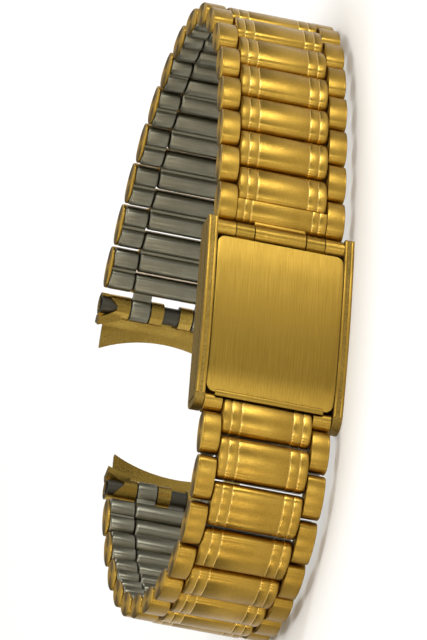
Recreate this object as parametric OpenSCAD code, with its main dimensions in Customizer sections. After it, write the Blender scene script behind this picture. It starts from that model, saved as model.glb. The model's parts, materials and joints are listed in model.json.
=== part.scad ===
// Link watch bracelet: folded two-pin links in a half-pitch brick pattern,
// an adjustable flip-cover clasp and two formed end pieces for the watch case.
// The bracelet stands on its side edge: +Z runs across the band, +X along the
// clasp towards the upper strap, and +Y from the clasp back to the watch side.
// The origin lies on the outer face of the clasp's lower rail.

/* [Bracelet] */
// Width of the band at the watch case
end_w = 18; // [17.4:0.1:20]
// Length of one link along the band
link_pitch = 5.5; // [5.3:0.1:5.8]
// Centre links in the upper strap
upper_rows = 15; // [13:1:15]
// Centre links in the lower strap
lower_rows = 12; // [10:1:12]

/* [Links] */
// Thickness of a link at its crown
link_t = 3; // [2.8:0.1:3.1]
// Distance that a link's rounded end keeps from the half pitch
end_relief = 0.115; // [0.08:0.005:0.16]
// Width of a centre link
centre_w = 10.9; // [10.4:0.1:11.1]
// Sheet thickness of the gold outer shell
shell_t = 0.3; // [0.2:0.05:0.4]
// Depth of the fold seam on the inner side
seam_d = 0.5; // [0.3:0.05:0.6]
// Diameter of a link pin
pin_d = 1; // [0.8:0.05:1.1]
// Width of a polished line
line_w = 0.35; // [0.25:0.05:0.45]
// Depth of a polished line
line_d = 0.12; // [0.08:0.02:0.16]
// Spacing of the two lines of a pair
line_gap = 1.2; // [0.9:0.1:1.4]
// Distance of the outer line from the link's end
line_edge = 1.1; // [0.9:0.1:1.4]
// Spacing of the three lines on the row beside the hinge
hinge_line_gap = 0.85; // [0.7:0.05:0.95]

/* [Clasp] */
// Distance from the clasp's middle to the hinge pin
hinge_x = 12; // [11.7:0.1:12.6]
// Distance from the clasp's middle to the pin of the sliding tongue
tongue_x = 11.2; // [11:0.1:11.8]
// Overall width of the clasp over its side rails
clasp_w = 18; // [17.8:0.1:18.6]
// Front of the clasp, measured from the pin line
clasp_front = 2.35; // [2.25:0.05:2.6]
// Back of the clasp, measured from the pin line
clasp_back = 2; // [1.9:0.05:2.3]
// Thickness of a side rail
rail_t = 1.15; // [1:0.05:1.2]
// Radius of the cover's arch
arch_r = 110; // [90:5:200]
// Thickness of the cover plate
cover_t = 0.55; // [0.45:0.05:0.6]
// Thickness of the floor and of the tongue
floor_t = 0.5; // [0.4:0.05:0.55]
// Diameter of the hinge knuckles
knuckle_d = 2.6; // [2.4:0.05:2.7]
// Width of one small knuckle
knuckle_w = 2.2; // [2:0.05:2.25]

/* [End pieces] */
// Diameter of the bore for the spring bar
bar_d = 1.6; // [1.5:0.05:1.7]
// Wall of the tube round the spring bar
tube_wall = 0.3; // [0.25:0.05:0.35]
// Thickness of the collars and of the tabs that go round the tube
collar_t = 0.35; // [0.3:0.05:0.4]
// Width of a tab
tab_w = 2.4; // [2:0.1:2.6]
// Distance of a tab's middle from the band's middle
tab_at = 4; // [3.8:0.1:4.6]
// Width of the window between the two middle collars
window_w = 2.1; // [1.6:0.1:2.3]
// Depth of the notch in the end of the outer collar
notch_z = 2; // [1.8:0.1:2.3]
// Gap between the last link row and the tube's axis
tube_reach = 2; // [1.9:0.1:2.4]
// Radius of the watch case that the end piece follows
case_r = 18.8; // [18:0.2:21]
// Depth of the end piece at its middle, from the tube's axis
end_depth = 3.7; // [3.4:0.1:4.2]
// Radius of the end piece's crown
crown_r = 14; // [12:1:20]
// Thickness of the end piece's sheet
sheet_t = 0.45; // [0.35:0.05:0.5]

/* [Rest pose] */
// Slant of the first upper link against the clasp, in degrees
upper_start = 6; // [2:1:8]
// Bend of each upper pin near the clasp
upper_flat = 1; // [0.5:0.5:2]
// Extra bend in the middle of the upper turn
upper_turn = 7; // [5:0.5:7.5]
// Pin at the middle of the upper turn
upper_turn_at = 14.4; // [13:0.2:15]
// Number of pins over which the upper turn fades
upper_turn_n = 6.5; // [5:0.5:7]
// Bend of each upper pin near the watch
upper_far = 2.7; // [2:0.1:3.2]
// Slant of the first lower link against the clasp, in degrees
lower_start = -5; // [-6:1:0]
// Bend of each lower pin away from the turn
lower_flat = 5.4; // [4.8:0.1:5.6]
// Extra bend in the middle of the lower turn
lower_turn = 7.8; // [6:0.2:8]
// Pin at the middle of the lower turn
lower_turn_at = 5.2; // [5:0.2:7]
// Number of pins over which the lower turn fades
lower_turn_n = 3.5; // [3:0.5:4]

/* [Fits] */
// Running clearance between a pin and its bore
run_gap = 0.03; // [0.02:0.01:0.06]
// Clearance round a pressed pin
press_gap = 0.01; // [0.005:0.005:0.015]
// Clearance between a gold shell and the steel core that it is folded over
fold_gap = 0.02; // [0.01:0.01:0.03]
// Gap between neighbours across the band
side_gap = 0.1; // [0.08:0.01:0.15]

/* [Hidden] */
$fn = 64;
gold = [0.86, 0.68, 0.28];
steel = [0.52, 0.51, 0.45];
brushed = [0.90, 0.73, 0.34];

// Across the band
mid_z = clasp_w / 2;
centre_z = mid_z - centre_w / 2;
side_in = centre_w / 2 + side_gap;
near_half = clasp_w / 2 - rail_t - side_gap;
far_half = end_w / 2;

// Link profile: two flat arcs closed by two end arcs round the pins
pin_gap = link_pitch / 2;
pin_off = pin_gap / 2;
crown = link_t / 2;
end_r = pin_off - end_relief;
flat_r = (pow(pin_off, 2) + pow(crown, 2) - pow(end_r, 2)) / (2 * (crown - end_r));
flat_x = pin_off * flat_r / (flat_r - end_r);
pin_r = pin_d / 2;
wrap_y = 0.25;
blind = 0.4;
big = 40;
over = 0.05;

// Half widths of the strap's side pairs, which widen after the first rows
straight_rows = 4;
function side_out(k, rows) =
    near_half + (far_half - near_half) * max(0, k - straight_rows) / (rows - straight_rows);

// Headings and pins of a strap, seen as running towards +X
function fade(k, at, n) = exp(-pow((k - at) / n, 2));
rise_n = 1.5;
function rise(k, at) = 1 / (1 + exp(-(k - at) / rise_n));
function upper_bend(k) = upper_flat + (upper_far - upper_flat) * rise(k, upper_turn_at)
    + upper_turn * fade(k, upper_turn_at, upper_turn_n);
function lower_bend(k) = lower_flat + lower_turn * fade(k, lower_turn_at, lower_turn_n);
function run(steps, i = 0, sum = 0) =
    i == len(steps) ? [] : concat([sum + steps[i]], run(steps, i + 1, sum + steps[i]));
function along(a, d) = [d * cos(a), d * sin(a)];
function walk(heads, lengths, at, i = 0) =
    i == len(heads) ? [at]
    : concat([at], walk(heads, lengths, at + along(heads[i], lengths[i]), i + 1));

last_step = pin_off + pin_gap + tube_reach;
upper_n = 2 * upper_rows;
upper_heads = run([for (k = [0:upper_n]) k == 0 ? upper_start : upper_bend(k)]);
upper_steps = [for (k = [0:upper_n]) k == 0 ? link_pitch : k == upper_n ? last_step : pin_gap];
upper_pins = walk(upper_heads, upper_steps, [hinge_x, 0]);
lower_n = 2 * lower_rows - 1;
lower_heads = run([for (k = [0:lower_n]) k == 0 ? lower_start : lower_bend(k)]);
lower_steps = [for (k = [0:lower_n]) k == lower_n ? last_step : pin_gap];
lower_pins = walk(lower_heads, lower_steps, [tongue_x, 0]);

// Puts a link between two pins: local x runs along the strap, local y inwards
module on_strap(pins, heads, i) {
    at = pins[i] + along(heads[i], pin_off);
    translate([at[0], at[1], 0]) rotate([0, 0, heads[i]]) children();
}
module slab(z0, z1) { translate([0, 0, z0]) linear_extrude(z1 - z0) children(); }
module both_sides() {
    children();
    translate([0, 0, clasp_w]) mirror([0, 0, 1]) children();
}

// Oval outline of a link, drawn in from its surface by an inset
module oval(inset = 0) {
    x = pin_off + (flat_x - pin_off) * (end_r - inset) / end_r;
    intersection() {
        translate([0, flat_r - crown]) circle(flat_r - inset);
        translate([0, crown - flat_r]) circle(flat_r - inset);
        translate([-x, -big / 2]) square([2 * x, big]);
    }
    for (s = [-1, 1]) translate([s * pin_off, 0]) circle(end_r - inset);
}
module shell_outline() {
    difference() {
        oval();
        oval(shell_t);
        translate([-big / 2, wrap_y]) square([big, big]);
    }
}
module core_outline(seam = true) {
    difference() {
        union() {
            oval(shell_t + fold_gap);
            intersection() {
                oval();
                translate([-big / 2, wrap_y + fold_gap]) square([big, big]);
            }
        }
        if (seam) translate([0, crown]) rotate(45) square(seam_d * sqrt(2), center = true);
    }
}
module right_part(x0) { intersection() { children(); translate([x0, -big / 2]) square([big, big]); } }
module line_cut() { difference() { oval(-over); oval(line_d); } }
line_pair = [line_edge, line_edge + line_gap];
hinge_lines = [for (k = [0:2]) k * hinge_line_gap];
module polished_lines(at) {
    for (s = [-1, 1], d = at)
        translate([0, 0, mid_z + s * (centre_w / 2 - d) - line_w / 2]) linear_extrude(line_w) line_cut();
}
module bore(x, r, z0, z1) { translate([x, 0, z0]) cylinder(r = r, h = z1 - z0); }

// A centre link, which turns on both of its pins
module centre_link() {
    color(gold) difference() {
        slab(centre_z, centre_z + centre_w) shell_outline();
        polished_lines(line_pair);
    }
    color(steel) difference() {
        slab(centre_z, centre_z + centre_w) core_outline();
        for (s = [-1, 1]) bore(s * pin_off, pin_r + run_gap, centre_z - over, centre_z + centre_w + over);
    }
}

// A pair of side links, held together by pins pressed into blind bores
module side_pair(out, pins = [-1, 1]) {
    both_sides() {
        color(gold) slab(mid_z - out, mid_z - side_in) shell_outline();
        color(steel) difference() {
            slab(mid_z - out, mid_z - side_in) core_outline();
            for (s = pins)
                bore(s * pin_off, pin_r + press_gap, mid_z - out + blind, mid_z - side_in + over);
        }
    }
    for (s = pins) link_pin(s * pin_off, out);
}
module link_pin(x, out) {
    reach = out - blind - press_gap;
    color(steel) bore(x, pin_r, mid_z - reach, mid_z + reach);
}

// An end row: side links joined by half a centre link on the far side of x = 0
bridge_x = 0.05;
module end_row_shell(out, lines) {
    color(gold) difference() {
        union() {
            both_sides() slab(mid_z - out, mid_z - side_in) shell_outline();
            slab(mid_z - out + over, mid_z + out - over) right_part(bridge_x) shell_outline();
        }
        polished_lines(lines);
    }
}
module end_row_core(out) {
    difference() {
        union() {
            both_sides() slab(mid_z - out, mid_z - side_in) core_outline();
            slab(mid_z - out + over, mid_z + out - over) right_part(bridge_x) core_outline();
            children();
        }
        bore(-pin_off, pin_r + press_gap, mid_z - out + blind, mid_z + out - blind);
    }
}

// The last row, with two tabs that hook round the end piece's tube
tube_r = bar_d / 2 + tube_wall;
tab_in = tube_r + run_gap;
tab_out = tab_in + collar_t;
tube_at = pin_gap + tube_reach;
tab_root = 0.8;
module tab_outline() {
    difference() {
        union() {
            translate([tube_at, 0]) circle(tab_out);
            translate([tab_root, wrap_y + fold_gap]) square([tube_at - tab_root, collar_t]);
        }
        translate([tube_at, 0]) circle(tab_in);
    }
}
module last_link() {
    end_row_shell(far_half, line_pair);
    color(steel) end_row_core(far_half)
        for (s = [-1, 1])
            slab(mid_z + s * tab_at - tab_w / 2, mid_z + s * tab_at + tab_w / 2) tab_outline();
    link_pin(-pin_off, far_half);
}

// The first upper row, turned about so that its bridge faces the clasp
knuckle_r = knuckle_d / 2;
hinge_half = near_half - 2 * (knuckle_w + side_gap);
neck_t = 1.3;
neck_lap = 0.3;
neck_len = pin_gap + neck_lap;
first_mid = link_pitch - pin_off;
module from_hinge() { translate([first_mid, 0, 0]) mirror([1, 0, 0]) children(); }
module hinge_neck() {
    slab(mid_z - hinge_half, mid_z + hinge_half)
        translate([0, -neck_t / 2]) square([neck_len, neck_t]);
}
module first_link() {
    color(gold) difference() {
        union() {
            from_hinge() end_row_shell(near_half, hinge_lines);
            slab(mid_z - hinge_half, mid_z + hinge_half) circle(knuckle_r);
            hinge_neck();
        }
        bore(0, pin_r + run_gap, 0, clasp_w);
    }
    color(steel) difference() {
        from_hinge() end_row_core(near_half);
        hinge_neck();
    }
    from_hinge() link_pin(-pin_off, near_half);
}

// Clasp: the frame's rails and floor carry the cover, the tongue and the strap
knuckle_gap = 0.3;
rail_top = hinge_x + 1.1;
rail_end = tongue_x + 0.9;
cover_top = hinge_x - knuckle_r - knuckle_gap;
cover_end = tongue_x - 0.8;
floor_in = clasp_back - floor_t;
floor_end = tongue_x - 1;
rail_back = 0.15;
rail_front = clasp_front - rail_back;
rail_round = 1.5;
foot_sink = 0.01;
groove_w = 0.3;
groove_d = 0.12;
groove_in = 0.9;
frame_knuckle_z = mid_z - near_half;
function sag(x) = arch_r - sqrt(pow(arch_r, 2) - pow(x, 2));
module arch(front, depth) {
    translate([0, arch_r - front]) difference() { circle(arch_r, $fn = 128); circle(arch_r - depth, $fn = 128); }
}
module span(x0, x1, y0, y1) { translate([x0, y0]) square([x1 - x0, y1 - y0]); }

// Side view of a rail: arched in front, straight at the back, round at its foot
module rail_outline(inset = 0) {
    foot = rail_end - inset;
    front = rail_front - inset;
    back = clasp_back - inset;
    foot_x = -foot + rail_round;
    foot_y = arch_r - front - sqrt(pow(arch_r - rail_round - foot_sink, 2) - pow(foot_x, 2));
    intersection() {
        translate([0, arch_r - front]) circle(arch_r, $fn = 128);
        union() {
            span(foot_x, rail_top, -clasp_w, back);
            span(-foot, rail_top, foot_y, back - rail_round);
            for (y = [foot_y, back - rail_round]) translate([foot_x, y]) circle(rail_round);
        }
    }
}
module rail() {
    difference() {
        slab(0, rail_t) rail_outline();
        slab(-over, groove_d) difference() {
            rail_outline(groove_in);
            rail_outline(groove_in + groove_w);
        }
        bore(hinge_x, pin_r + press_gap, blind, rail_t + over);
    }
}
module clasp_frame() {
    color(gold) difference() {
        union() {
            both_sides() {
                rail();
                slab(rail_t - over, frame_knuckle_z + knuckle_w) {
                    translate([hinge_x, 0]) circle(knuckle_r);
                    span(hinge_x - knuckle_r, hinge_x, 0, clasp_back);
                }
            }
            slab(rail_t - over, clasp_w - rail_t + over)
                span(-floor_end, hinge_x - knuckle_r, floor_in, clasp_back);
        }
        bore(hinge_x, pin_r + press_gap, blind, clasp_w - blind);
    }
    color(steel) bore(hinge_x, pin_r, blind + press_gap, clasp_w - blind - press_gap);
}

// The cover flips up about the hinge pin and presses on the tongue with a rib
cover_z = frame_knuckle_z + knuckle_w + side_gap;
rib_x = -7;
rib_w = 1.2;
catch_gap = 0.1;
tongue_out = floor_in - side_gap;
tongue_in = tongue_out - floor_t;
corner_r = 1;
arm_w = 1.2;
arm_t = 0.6;
function cover_under(x) = -clasp_front + sag(x) + cover_t;
module rounded_plan() {
    x0 = -cover_end;
    z0 = mid_z - near_half;
    z1 = mid_z + near_half;
    translate([x0 + corner_r, z0]) square([cover_top - x0 - 2 * corner_r, z1 - z0]);
    translate([x0, z0 + corner_r]) square([cover_top - x0, z1 - z0 - 2 * corner_r]);
    for (x = [x0 + corner_r, cover_top - corner_r], z = [z0 + corner_r, z1 - corner_r])
        translate([x, z]) circle(corner_r);
}
// An arm runs from the underside of the plate down to its knuckle
module cover_arm() {
    x0 = cover_top - arm_w;
    x1 = cover_top - over;
    polygon([[x0, cover_under(x0) - over], [x1, cover_under(x1) - over],
             [hinge_x - knuckle_r + over, -knuckle_r + arm_t], [hinge_x, 0], [x0, cover_under(x0) + arm_t]]);
    translate([hinge_x, 0]) circle(knuckle_r);
}
module clasp_cover() {
    color(brushed) difference() {
        union() {
            intersection() {
                slab(mid_z - near_half, mid_z + near_half) arch(clasp_front, cover_t);
                rotate([90, 0, 0]) linear_extrude(2 * clasp_w, center = true) rounded_plan();
            }
            both_sides() slab(cover_z, cover_z + knuckle_w) cover_arm();
            slab(cover_z, clasp_w - cover_z)
                span(rib_x - rib_w / 2, rib_x + rib_w / 2, cover_under(rib_x) - cover_t / 2, tongue_in - catch_gap);
        }
        bore(hinge_x, pin_r + run_gap, 0, clasp_w);
    }
}

// The tongue slides between the rails and carries the lower strap on two lugs
tongue_len = 15;
strap_room = 1.75;
tongue_end = tongue_x - strap_room;
lug_lap = 0.3;
tooth = 0.3;
tooth_pitch = 1.2;
teeth = 5;
teeth_x = rib_x + 2;
lug_z = mid_z - centre_w / 2 - side_gap;
tongue_z = rail_t + side_gap;
module clasp_tongue() {
    color(gold) difference() {
        union() {
            difference() {
                slab(tongue_z, clasp_w - tongue_z)
                    span(-tongue_end, tongue_len - tongue_end, tongue_in, tongue_out);
                for (k = [0:teeth - 1])
                    slab(cover_z, clasp_w - cover_z)
                        translate([teeth_x + k * tooth_pitch, tongue_in]) rotate(45) square(tooth, center = true);
            }
            both_sides() slab(tongue_z, lug_z) {
                translate([-tongue_x, 0]) circle(knuckle_r);
                span(-tongue_x, -tongue_end + lug_lap, 0, tongue_out);
            }
        }
        bore(-tongue_x, pin_r + press_gap, tongue_z + blind, clasp_w - tongue_z - blind);
    }
    color(steel) bore(-tongue_x, pin_r, tongue_z + blind + press_gap, clasp_w - tongue_z - blind - press_gap);
}

// End piece: a crowned sheet on collars round the tube, cut to the watch case
tab_room = 0.15;
collar_in = tube_r + press_gap;
collar_out = tube_r + collar_t;
clear_r = tab_out + tab_room;
sheet_sink = 0.08;
wing_x = case_r + end_depth - sqrt(pow(case_r, 2) - pow(far_half, 2));
tube_inset = 0.1;
horn_z = 1;
horn_x = 2.5;
horn_w = 0.9;
horn_root = 0.8;
horn_y0 = -0.9;
horn_y1 = collar_out - 0.2;
notch_floor = 0.6;
notch_tip = 0.7;
notch_y = 0.1;
end_z = mid_z - far_half;
module case_cylinder() {
    translate([end_depth + case_r, 0, mid_z]) rotate([90, 0, 0])
        cylinder(r = case_r, h = big, center = true, $fn = 128);
}
module crown_sheet() {
    intersection() {
        translate([0, crown_r - collar_out + sheet_sink]) difference() {
            circle(crown_r, $fn = 128);
            circle(crown_r - sheet_t, $fn = 128);
        }
        span(0, wing_x + over, -2 * collar_out, collar_out);
    }
}
// Extrudes an outline drawn in x and z through a range of y
module through_y(y0, y1) { translate([0, y1, 0]) rotate([90, 0, 0]) linear_extrude(y1 - y0) children(); }
module horn() {
    through_y(horn_y0, horn_y1)
        polygon([[horn_x, end_z], [horn_x - horn_w, end_z], [collar_t, end_z + notch_z],
                 [collar_t, end_z + notch_z + horn_root], [collar_out, end_z + notch_z + horn_root]]);
}
module notch() {
    through_y(notch_y, big)
        polygon([[horn_x - horn_w + notch_floor / 2, end_z - over], [notch_floor / 2, end_z + notch_z],
                 [-notch_floor / 2, end_z + notch_z], [-collar_out - over, end_z + notch_tip],
                 [-collar_out - over, end_z - over]]);
}
module end_piece() {
    color(gold) difference() {
        union() {
            slab(mid_z - far_half + horn_z, mid_z + far_half - horn_z) crown_sheet();
            difference() {
                slab(mid_z - far_half, mid_z + far_half) circle(collar_out);
                both_sides() notch();
            }
            both_sides() horn();
        }
        case_cylinder();
        bore(0, collar_in, -big, 2 * big);
        both_sides() {
            bore(0, clear_r, mid_z - tab_at - tab_w / 2 - tab_room, mid_z - tab_at + tab_w / 2 + tab_room);
            bore(0, clear_r, mid_z - window_w / 2, mid_z + over);
        }
    }
    color(steel) difference() {
        bore(0, tube_r, mid_z - far_half + tube_inset, mid_z + far_half - tube_inset);
        bore(0, bar_d / 2, mid_z - far_half - over, mid_z + far_half + over);
    }
}
module at_tube(pins, heads) {
    n = len(pins) - 1;
    translate([pins[n][0], pins[n][1], 0]) rotate([0, 0, heads[n - 1]]) children();
}

module upper_first_link() { translate([hinge_x, 0, 0]) rotate([0, 0, upper_heads[0]]) first_link(); }
module upper_centre(k) { on_strap(upper_pins, upper_heads, 2 * k - 1) centre_link(); }
module upper_side_pair(k) { on_strap(upper_pins, upper_heads, 2 * k) side_pair(side_out(k, upper_rows)); }
module upper_last_link() { on_strap(upper_pins, upper_heads, upper_n) last_link(); }
module upper_end_piece() { at_tube(upper_pins, upper_heads) end_piece(); }
module lower_centre(k) { mirror([1, 0, 0]) on_strap(lower_pins, lower_heads, 2 * k - 2) centre_link(); }
module lower_side_pair(k) {
    mirror([1, 0, 0]) on_strap(lower_pins, lower_heads, 2 * k - 1) side_pair(side_out(k, lower_rows));
}
module lower_last_link() { mirror([1, 0, 0]) on_strap(lower_pins, lower_heads, lower_n) last_link(); }
module lower_end_piece() { mirror([1, 0, 0]) at_tube(lower_pins, lower_heads) end_piece(); }

clasp_frame();
clasp_cover();
clasp_tongue();
upper_first_link();
for (k = [1:upper_rows]) upper_centre(k);
for (k = [1:upper_rows - 1]) upper_side_pair(k);
upper_last_link();
upper_end_piece();
for (k = [1:lower_rows]) lower_centre(k);
for (k = [1:lower_rows - 1]) lower_side_pair(k);
lower_last_link();
lower_end_piece();
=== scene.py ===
# %% [markdown]
# # A link watch bracelet in Blender
#
# The real object is a folded metal bracelet. Every row is a gold sheet rolled over
# a grey steel core, and the rows turn on thin pins that cross the band. A flip
# cover clasp closes it, and two formed end pieces meet the watch case.
#
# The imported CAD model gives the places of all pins, so nothing is fitted by eye.
# This first cell empties the scene, loads that model and keeps its box.

import json

import bmesh
import bpy
import numpy as np
from mathutils import Matrix, Vector

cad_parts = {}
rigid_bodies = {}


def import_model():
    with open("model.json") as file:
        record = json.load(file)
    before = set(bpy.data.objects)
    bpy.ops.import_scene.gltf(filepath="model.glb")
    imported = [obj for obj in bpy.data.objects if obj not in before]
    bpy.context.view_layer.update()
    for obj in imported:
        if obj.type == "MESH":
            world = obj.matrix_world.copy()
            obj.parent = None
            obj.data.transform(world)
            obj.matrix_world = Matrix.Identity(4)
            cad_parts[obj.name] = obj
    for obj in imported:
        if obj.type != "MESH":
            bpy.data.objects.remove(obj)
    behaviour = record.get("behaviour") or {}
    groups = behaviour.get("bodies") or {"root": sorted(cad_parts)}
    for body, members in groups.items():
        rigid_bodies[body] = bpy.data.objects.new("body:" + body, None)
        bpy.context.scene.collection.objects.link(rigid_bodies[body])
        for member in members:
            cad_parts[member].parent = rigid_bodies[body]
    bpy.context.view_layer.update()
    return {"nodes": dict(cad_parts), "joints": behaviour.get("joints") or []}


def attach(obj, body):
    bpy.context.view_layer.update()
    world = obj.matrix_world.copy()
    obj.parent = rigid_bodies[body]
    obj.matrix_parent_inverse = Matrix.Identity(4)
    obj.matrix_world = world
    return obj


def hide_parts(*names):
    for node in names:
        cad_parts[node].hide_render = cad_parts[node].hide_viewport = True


for leftover in list(bpy.data.objects):
    bpy.data.objects.remove(leftover)
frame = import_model()
MM = 0.001

# %% [markdown]
# ## The camera
#
# The photograph was taken from in front of the clasp, from slightly above the
# band's lower edge, with a long lens. Its view is described by three turns away
# from a plain front view, in which the band's width runs to the left and the
# clasp's length runs up. A long lens on a far camera keeps the links parallel,
# as they are in the photograph, so the distance is 1.2 m.

# %% Place the camera
TURN = np.radians(-13.0)
TILT = np.radians(-28.3)
ROLL = np.radians(4.5)
CAMERA_DISTANCE = 1.2
VIEW_WIDTH = 51.8 * MM  # width of the picture at the bracelet
SENSOR = 36.0
NEAR_CLIP = 0.01
FAR_CLIP = 10.0
MIDDLE = np.array([8.0, 28.0, 9.0]) * MM  # of the bracelet
AIM_RIGHT = -0.150 * MM  # from there to the point that the camera aims at
AIM_UP = 6.530 * MM
front_right = np.array([0.0, 0.0, -1.0])
front_up = np.array([1.0, 0.0, 0.0])
front_look = np.array([0.0, 1.0, 0.0])
turned_right = np.cos(TURN) * front_right + np.sin(TURN) * front_look
turned_look = np.cos(TURN) * front_look - np.sin(TURN) * front_right
tilted_up = np.cos(TILT) * front_up + np.sin(TILT) * turned_look
look = np.cos(TILT) * turned_look - np.sin(TILT) * front_up
right = np.cos(ROLL) * turned_right + np.sin(ROLL) * tilted_up
up = np.cos(ROLL) * tilted_up - np.sin(ROLL) * turned_right
target = MIDDLE + AIM_RIGHT * right + AIM_UP * up

camera = bpy.data.objects.new("camera", bpy.data.cameras.new("camera"))
bpy.context.scene.collection.objects.link(camera)
axes = Matrix(np.column_stack([right, up, -look]).tolist()).to_4x4()
camera.matrix_world = Matrix.Translation(target - look * CAMERA_DISTANCE) @ axes
camera.data.sensor_fit = "HORIZONTAL"
camera.data.sensor_width = SENSOR
camera.data.lens = SENSOR * CAMERA_DISTANCE / VIEW_WIDTH
camera.data.clip_start = NEAR_CLIP
camera.data.clip_end = FAR_CLIP
bpy.context.scene.camera = camera
print("lens in mm:", round(camera.data.lens, 1))

# %% [markdown]
# ## The pins
#
# All the links are placed by the pins they turn on. The record lists a joint for
# each pin, with its place. The upper strap starts at the clasp's hinge, and the
# lower strap at the sliding tongue, and both end at the tube of an end piece.
# The lower strap is the upper one's mirror image, so its inner side has the
# other sign.

# %% Read the pins of both straps
joint_place = {j["name"]: np.array(j["pos_m"][:2]) for j in frame["joints"] if j.get("pos_m")}


def strap_pins(strap):
    """The places of a strap's pins in x and y: its hinge, its numbered pins, its case hinge."""
    count = sum(name.startswith(f"{strap}_pin_") for name in joint_place)
    names = [f"{strap}_hinge"] + [f"{strap}_pin_{k}" for k in range(1, count + 1)]
    return np.array([joint_place[name] for name in names + [f"{strap}_case_hinge"]])


pins = {"upper": strap_pins("upper"), "lower": strap_pins("lower")}
mirror = {"upper": 1.0, "lower": -1.0}
print("pins of each strap:", {strap: len(at) for strap, at in pins.items()})

# %% [markdown]
# ## Sizes of a link
#
# A link's side view is an oval: two flat arcs, closed by two end arcs round its
# pins. The gold sheet covers the outer part of it, down to just past the pins,
# and the steel core is the rest. The sizes of links and clasp parts are in
# millimetres, and z counts across the band from the edge that it stands on.

# %% Name the sizes
PITCH = 5.5
PIN_OFF = PITCH / 4  # from a link's middle to its pins
CROWN = 1.5  # from the pins' line to the top of the dome
END_GAP = 0.115  # half the gap between a link and its neighbour
END_R = PIN_OFF - END_GAP
FLAT_R = (PIN_OFF**2 + CROWN**2 - END_R**2) / (2 * (CROWN - END_R))
WRAP_Y = 0.25  # how far past the pins the gold sheet goes
MID_Z = 9.0
CENTRE_HALF = 5.45
SIDE_GAP = 0.1  # between a centre link and a side link
SIDE_IN = CENTRE_HALF + SIDE_GAP
NEAR_HALF = 7.75  # half width of the band at the clasp
FAR_HALF = 9.0  # half width of the band at the watch, and of the clasp
print("radius of a link's flat arc in mm:", round(FLAT_R, 3))

# %% [markdown]
# ## Surfaces from arrays
#
# Each piece is a stack of closed rings, computed as one array of points. A helper
# joins the rings with four-sided faces, closes both ends, and turns the whole
# shell outwards by the sign of the volume that it encloses. That is simpler than
# keeping track of the order of points on the mirrored strap. A prism with three
# sides shows what it gives: three sides and two ends.

# %% Join rings with faces


def stack_faces(rings):
    """Faces of a closed stack: quad (s, n) joins ring s to ring s + 1 between points n and n + 1."""
    count, size = rings.shape[:2]
    s, n = np.meshgrid(np.arange(count - 1), np.arange(size), indexing="ij")
    here, after = s * size + n, s * size + (n + 1) % size
    quads = np.stack([here, after, after + size, here + size], axis=-1).reshape(-1, 4)
    a, b, c = (rings.reshape(-1, 3)[quads[:, k]] for k in (0, 1, 2))
    middle = rings.reshape(-1, 3).mean(axis=0)
    outward = np.einsum("ij,ij->", a - middle, np.cross(b - a, c - a)) > 0
    first, last = list(range(size))[::-1], list(range((count - 1) * size, count * size))
    faces = quads.tolist() + [first, last]
    return faces if outward else [face[::-1] for face in faces]


triangle = np.eye(3)
print("faces of a prism:", stack_faces(np.stack([triangle, triangle + 1.0])))

# %% [markdown]
# ## From rings to an object
#
# One real piece can hold several shells, such as a row's two outer plates, so an
# object takes a list of stacks. A polished line on a satin shell is the same
# surface with another finish, which is why each band between two rings has a
# material number. All faces are shaded smooth, apart from edges that are clearly
# corners.

# %% Make an object from stacks
SHARP_ANGLE = np.radians(40.0)


def build_piece(name, stacks, materials):
    """One object from several stacks, each a pair of rings and material numbers.

    There is a number for each band between two rings, or one for all of them, and an
    end takes the number of the band beside it.
    """
    points, faces, numbers = [], [], []
    for rings, band_material in stacks:
        start = sum(len(p) for p in points)
        points.append(rings.reshape(-1, 3) * MM)
        faces += [[start + i for i in face] for face in stack_faces(rings)]
        bands = np.broadcast_to(band_material, (len(rings) - 1,))
        numbers += np.repeat(bands, rings.shape[1]).tolist() + [int(bands[0]), int(bands[-1])]
    mesh = bpy.data.meshes.new(name)
    mesh.from_pydata(np.concatenate(points).tolist(), [], faces)
    for material in materials:
        mesh.materials.append(material)
    mesh.polygons.foreach_set("material_index", numbers)
    mesh.polygons.foreach_set("use_smooth", np.ones(len(faces), dtype=bool))
    mesh.set_sharp_from_angle(angle=SHARP_ANGLE)
    mesh.update()
    piece = bpy.data.objects.new(name, mesh)
    bpy.context.scene.collection.objects.link(piece)
    return piece


def on_strap(rings, strap, segment):
    """Rings of a link, moved from its own frame to a segment of the strap.

    x then runs from the segment's pin to the next, and y to the inner side.
    """
    at, after = pins[strap][segment] / MM, pins[strap][segment + 1] / MM
    along = (after - at) / np.linalg.norm(after - at)
    inward = mirror[strap] * np.array([-along[1], along[0]])
    flat = at + along * (rings[..., :1] + PIN_OFF) + inward * rings[..., 1:2]
    return np.concatenate([flat, rings[..., 2:]], axis=-1)


print("middle of the first upper segment in mm:", on_strap(np.zeros(3), "upper", 0)[:2].round(2))

# %% [markdown]
# ## Looks that several finishes share
#
# Brush marks and the faint clouding of handled metal appear in more than one
# finish, so each is a node group. A group gives out a height or a mask, and the
# shader that uses it stays in the material. Noise keeps near its middle value,
# so a Map Range node spreads the part that matters over 0 to 1.

# %% Brush marks and handling as node groups
STREAK_DETAIL = 5.0
STREAK_ROUGHNESS = 0.65
STREAK_RANGE = (0.3, 0.7)
CLOUD_SCALE = 300.0
CLOUD_DETAIL = 3.0
CLOUD_RANGE = (0.35, 0.65)


def new_group(name, inputs, outputs):
    """An empty node group with named number or vector sockets."""
    group = bpy.data.node_groups.new(name, "ShaderNodeTree")
    for socket, kind, value in inputs:
        item = group.interface.new_socket(socket, in_out="INPUT", socket_type=kind)
        item.default_value = value
    for socket in outputs:
        group.interface.new_socket(socket, in_out="OUTPUT", socket_type="NodeSocketFloat")
    return group, group.nodes.new("NodeGroupInput"), group.nodes.new("NodeGroupOutput")


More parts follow.
